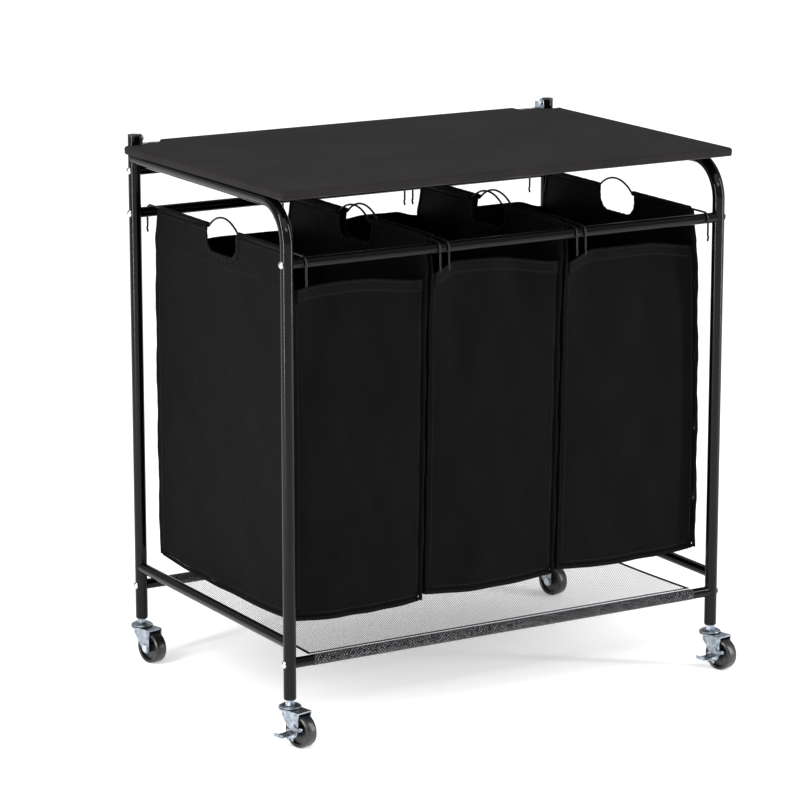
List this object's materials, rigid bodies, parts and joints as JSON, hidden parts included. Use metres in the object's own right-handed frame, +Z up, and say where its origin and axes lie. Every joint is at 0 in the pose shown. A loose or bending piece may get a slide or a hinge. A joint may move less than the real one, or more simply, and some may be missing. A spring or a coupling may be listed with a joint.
{
  "type": "laundry sorter",
  "caption": "Rolling laundry sorter: black tube frame with hanging lift-out bags, a net shelf, swivel casters and a padded ironing board as a hinged lid.",
  "frame": {"origin": "the point on the floor midway between the four swivel axes", "axes": "+X to the right, +Y to the back where the board is hinged, +Z up"},
  "size_m": [0.8022, 0.5522, 0.8335],
  "materials": {
    "black_powder_coat": "gloss",
    "zinc_plate": "satin",
    "bright_steel": "polished",
    "black_plastic": "matt",
    "black_nylon": "satin",
    "black_net": "open net",
    "fibreboard": "raw",
    "foam": "soft",
    "charcoal_cover": "woven",
    "black_polyester": "woven",
    "black_wire": "satin"
  },
  "bodies": {
    "frame": {"left_front_leg": "black_powder_coat", "right_front_leg": "black_powder_coat", "left_rear_post": "black_powder_coat", "right_rear_post": "black_powder_coat", "left_side_rail": "black_powder_coat", "right_side_rail": "black_powder_coat", "front_bag_bar": "black_powder_coat", "rear_bag_bar": "black_powder_coat", "front_shelf_bar": "black_powder_coat", "rear_shelf_bar": "black_powder_coat", "rear_top_bar": "black_powder_coat", "bar_inserts": "zinc_plate", "frame_screws": "bright_steel", "post_caps": "black_plastic", "pivot_screws": "bright_steel", "stem_sockets": "black_plastic", "caster_stems": "zinc_plate", "race_rings": "black_plastic", "shelf_net": "black_net", "net_sleeves": "black_net"},
    "board": {"board_core": "fibreboard", "board_pad": "foam", "board_cover": "charcoal_cover", "hinge_brackets": "zinc_plate", "bracket_screws": "bright_steel"},
    "left_bag": {"left_bag": "black_polyester", "left_bag_rod_l": "black_wire", "left_bag_rod_r": "black_wire"},
    "centre_bag": {"centre_bag": "black_polyester", "centre_bag_rod_l": "black_wire", "centre_bag_rod_r": "black_wire"},
    "right_bag": {"right_bag": "black_polyester", "right_bag_rod_l": "black_wire", "right_bag_rod_r": "black_wire"},
    "front_left_caster": {"front_left_fork": "zinc_plate", "front_left_axle": "bright_steel"},
    "front_left_wheel": {"front_left_wheel": "black_nylon"},
    "front_left_brake": {"front_left_brake": "zinc_plate"},
    "front_right_caster": {"front_right_fork": "zinc_plate", "front_right_axle": "bright_steel"},
    "front_right_wheel": {"front_right_wheel": "black_nylon"},
    "front_right_brake": {"front_right_brake": "zinc_plate"},
    "rear_left_caster": {"rear_left_fork": "zinc_plate", "rear_left_axle": "bright_steel"},
    "rear_left_wheel": {"rear_left_wheel": "black_nylon"},
    "rear_right_caster": {"rear_right_fork": "zinc_plate", "rear_right_axle": "bright_steel"},
    "rear_right_wheel": {"rear_right_wheel": "black_nylon"}
  },
  "joints": [
    {"name": "board_hinge", "type": "hinge", "parent": "frame", "child": "board", "pos_m": [0, 0.241, 0.827], "axis": [1, 0, 0], "range_deg": [-90, 0]},
    {"name": "left_bag_lift", "type": "slide", "parent": "frame", "child": "left_bag", "axis": [0, 0, 1], "range_m": [0, 0.042]},
    {"name": "centre_bag_lift", "type": "slide", "parent": "frame", "child": "centre_bag", "axis": [0, 0, 1], "range_m": [0, 0.042]},
    {"name": "right_bag_lift", "type": "slide", "parent": "frame", "child": "right_bag", "axis": [0, 0, 1], "range_m": [0, 0.042]},
    {"name": "front_left_swivel", "type": "hinge", "parent": "frame", "child": "front_left_caster", "pos_m": [-0.374, -0.241, 0.056], "axis": [0, 0, 1], "continuous": true},
    {"name": "front_left_roll", "type": "hinge", "parent": "front_left_caster", "child": "front_left_wheel", "pos_m": [-0.3686, -0.26438, 0.025], "axis": [0.9744, 0.225, 0], "continuous": true},
    {"name": "front_left_brake_press", "type": "hinge", "parent": "front_left_caster", "child": "front_left_brake", "pos_m": [-0.3686, -0.26438, 0.025], "axis": [0.9744, 0.225, 0], "range_deg": [-20, 0]},
    {"name": "front_right_swivel", "type": "hinge", "parent": "frame", "child": "front_right_caster", "pos_m": [0.374, -0.241, 0.056], "axis": [0, 0, 1], "continuous": true},
    {"name": "front_right_roll", "type": "hinge", "parent": "front_right_caster", "child": "front_right_wheel", "pos_m": [0.3794, -0.26438, 0.025], "axis": [0.9744, 0.225, 0], "continuous": true},
    {"name": "front_right_brake_press", "type": "hinge", "parent": "front_right_caster", "child": "front_right_brake", "pos_m": [0.3794, -0.26438, 0.025], "axis": [0.9744, 0.225, 0], "range_deg": [-20, 0]},
    {"name": "rear_left_swivel", "type": "hinge", "parent": "frame", "child": "rear_left_caster", "pos_m": [-0.374, 0.241, 0.056], "axis": [0, 0, 1], "continuous": true},
    {"name": "rear_left_roll", "type": "hinge", "parent": "rear_left_caster", "child": "rear_left_wheel", "pos_m": [-0.3686, 0.21762, 0.025], "axis": [0.9744, 0.225, 0], "continuous": true},
    {"name": "rear_right_swivel", "type": "hinge", "parent": "frame", "child": "rear_right_caster", "pos_m": [0.374, 0.241, 0.056], "axis": [0, 0, 1], "continuous": true},
    {"name": "rear_right_roll", "type": "hinge", "parent": "rear_right_caster", "child": "rear_right_wheel", "pos_m": [0.3794, 0.21762, 0.025], "axis": [0.9744, 0.225, 0], "continuous": true}
  ]
}
